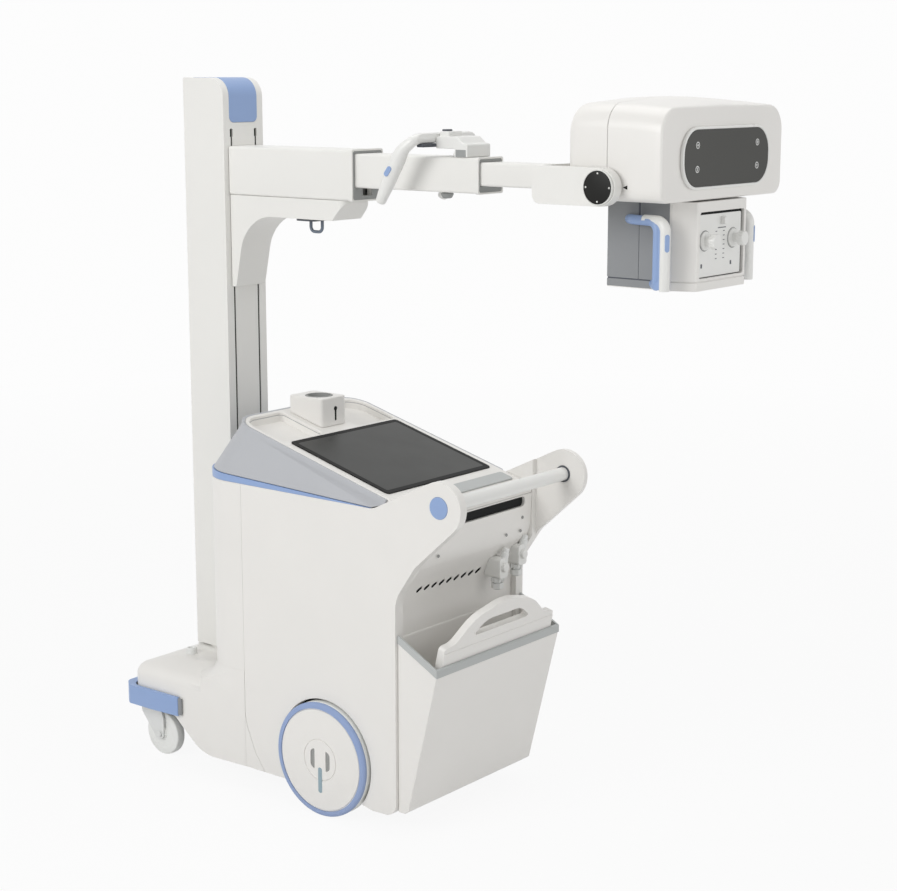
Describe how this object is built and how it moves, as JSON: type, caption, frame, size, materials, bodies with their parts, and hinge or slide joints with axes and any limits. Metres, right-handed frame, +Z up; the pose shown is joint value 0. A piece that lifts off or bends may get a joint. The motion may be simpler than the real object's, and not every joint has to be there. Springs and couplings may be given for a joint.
{
  "type": "portable x-ray machine",
  "caption": "Wheeled x-ray unit with a sloping touch console, detector bin, turning column, telescopic arm, yoke-mounted tube head and collimator.",
  "frame": {"origin": "centre of the bounding box's base, on the floor under the middle of the machine", "axes": "+X to the operator's right, +Y the way it drives, towards the column, +Z up; the operator stands at -Y"},
  "size_m": [0.582, 1.7444, 1.8555],
  "materials": {
    "cover": "satin",
    "white_metal": "satin",
    "grey_plastic": "satin",
    "blue_plastic": "satin",
    "blue_tread": "matte",
    "pale_tread": "matte",
    "display": "gloss",
    "dark_metal": "satin",
    "dark_plastic": "satin",
    "liner": "matte",
    "chassis_metal": "satin",
    "battery_case": "matte"
  },
  "bodies": {
    "power_unit": {"chassis_tray": "chassis_metal", "nose_cover": "cover", "front_shroud": "cover", "side_panel_left": "cover", "side_panel_right": "cover", "operator_wall": "cover", "trim_band": "blue_plastic", "console_base": "grey_plastic", "console_top": "cover", "touch_screen": "display", "wrist_rest": "grey_plastic", "dock_block": "cover", "dock_liner": "liner", "push_bar": "cover", "push_bar_cap_left": "blue_plastic", "push_bar_cap_right": "blue_plastic", "bumper": "blue_plastic", "detector_bin": "cover", "bin_rim": "grey_plastic", "wall_socket_inner": "cover", "wall_socket_outer": "cover", "power_block": "battery_case", "drive_unit_left": "chassis_metal", "drive_unit_right": "chassis_metal", "column_bearing": "white_metal"},
    "detector": {"flat_detector": "cover"},
    "rear_wheel_left": {"rear_tyre_left": "blue_tread", "rear_hub_left": "cover"},
    "rear_wheel_right": {"rear_tyre_right": "blue_tread", "rear_hub_right": "cover"},
    "castor_left": {"castor_fork_left": "grey_plastic"},
    "castor_right": {"castor_fork_right": "grey_plastic"},
    "castor_roll_left": {"castor_wheel_left": "pale_tread"},
    "castor_roll_right": {"castor_wheel_right": "pale_tread"},
    "column": {"mast": "white_metal", "mast_cap": "blue_plastic"},
    "carriage": {"arm_root": "cover", "transport_ring": "dark_metal", "outer_arm": "white_metal"},
    "middle_section": {"middle_arm": "white_metal", "grip_saddle": "cover", "arm_grip": "cover", "arm_lock_knob": "cover"},
    "inner_section": {"inner_arm": "white_metal"},
    "yoke": {"yoke_fork": "white_metal", "angle_dial_left": "dark_plastic", "angle_dial_right": "dark_plastic"},
    "tube_assembly": {"head_rear_shell": "cover", "head_front_shell": "cover", "display_bezel": "cover", "head_display": "display", "tube_port": "dark_plastic"},
    "collimator": {"collimator_body": "cover", "collimator_panel": "grey_plastic", "collimator_knob_left": "cover", "collimator_knob_right": "cover", "collimator_grip_left": "blue_plastic", "collimator_grip_right": "blue_plastic"}
  },
  "joints": [
    {"name": "rear_axle_left", "type": "hinge", "parent": "power_unit", "child": "rear_wheel_left", "pos_m": [-0.26, 0.12715, 0.15], "axis": [1, 0, 0], "continuous": true},
    {"name": "rear_axle_right", "type": "hinge", "parent": "power_unit", "child": "rear_wheel_right", "pos_m": [0.26, 0.12715, 0.15], "axis": [1, 0, 0], "continuous": true},
    {"name": "castor_swivel_left", "type": "hinge", "parent": "power_unit", "child": "castor_left", "pos_m": [-0.213, 0.80715, 0.137], "axis": [0, 0, 1], "continuous": true},
    {"name": "castor_swivel_right", "type": "hinge", "parent": "power_unit", "child": "castor_right", "pos_m": [0.213, 0.80715, 0.137], "axis": [0, 0, 1], "continuous": true},
    {"name": "castor_axle_left", "type": "hinge", "parent": "castor_left", "child": "castor_roll_left", "pos_m": [-0.213, 0.77215, 0.0625], "axis": [1, 0, 0], "continuous": true},
    {"name": "castor_axle_right", "type": "hinge", "parent": "castor_right", "child": "castor_roll_right", "pos_m": [0.213, 0.77215, 0.0625], "axis": [1, 0, 0], "continuous": true},
    {"name": "detector_lift", "type": "slide", "parent": "power_unit", "child": "detector", "axis": [0, -0.2288, 0.9735], "range_m": [0, 0.25]},
    {"name": "column_turn", "type": "hinge", "parent": "power_unit", "child": "column", "pos_m": [0, 0.70815, 0.3], "axis": [0, 0, 1], "range_deg": [-270, 270]},
    {"name": "carriage_lift", "type": "slide", "parent": "column", "child": "carriage", "axis": [0, 0, 1], "range_m": [-0.435, 0.04]},
    {"name": "arm_slide_middle", "type": "slide", "parent": "carriage", "child": "middle_section", "axis": [0, 1, 0], "range_m": [-0.02, 0.27]},
    {"name": "arm_slide_inner", "type": "slide", "parent": "middle_section", "child": "inner_section", "axis": [0, 1, 0], "range_m": [-0.02, 0.25]},
    {"name": "yoke_roll", "type": "hinge", "parent": "inner_section", "child": "yoke", "pos_m": [0, -0.53085, 1.629], "axis": [0, 1, 0], "range_deg": [-180, 180]},
    {"name": "head_tilt", "type": "hinge", "parent": "yoke", "child": "tube_assembly", "pos_m": [0, -0.70685, 1.629], "axis": [-1, 0, 0], "range_deg": [-20, 35]},
    {"name": "collimator_turn", "type": "hinge", "parent": "tube_assembly", "child": "collimator", "pos_m": [0, -0.74785, 1.578], "axis": [0, 0, 1], "range_deg": [-90, 90]}
  ]
}
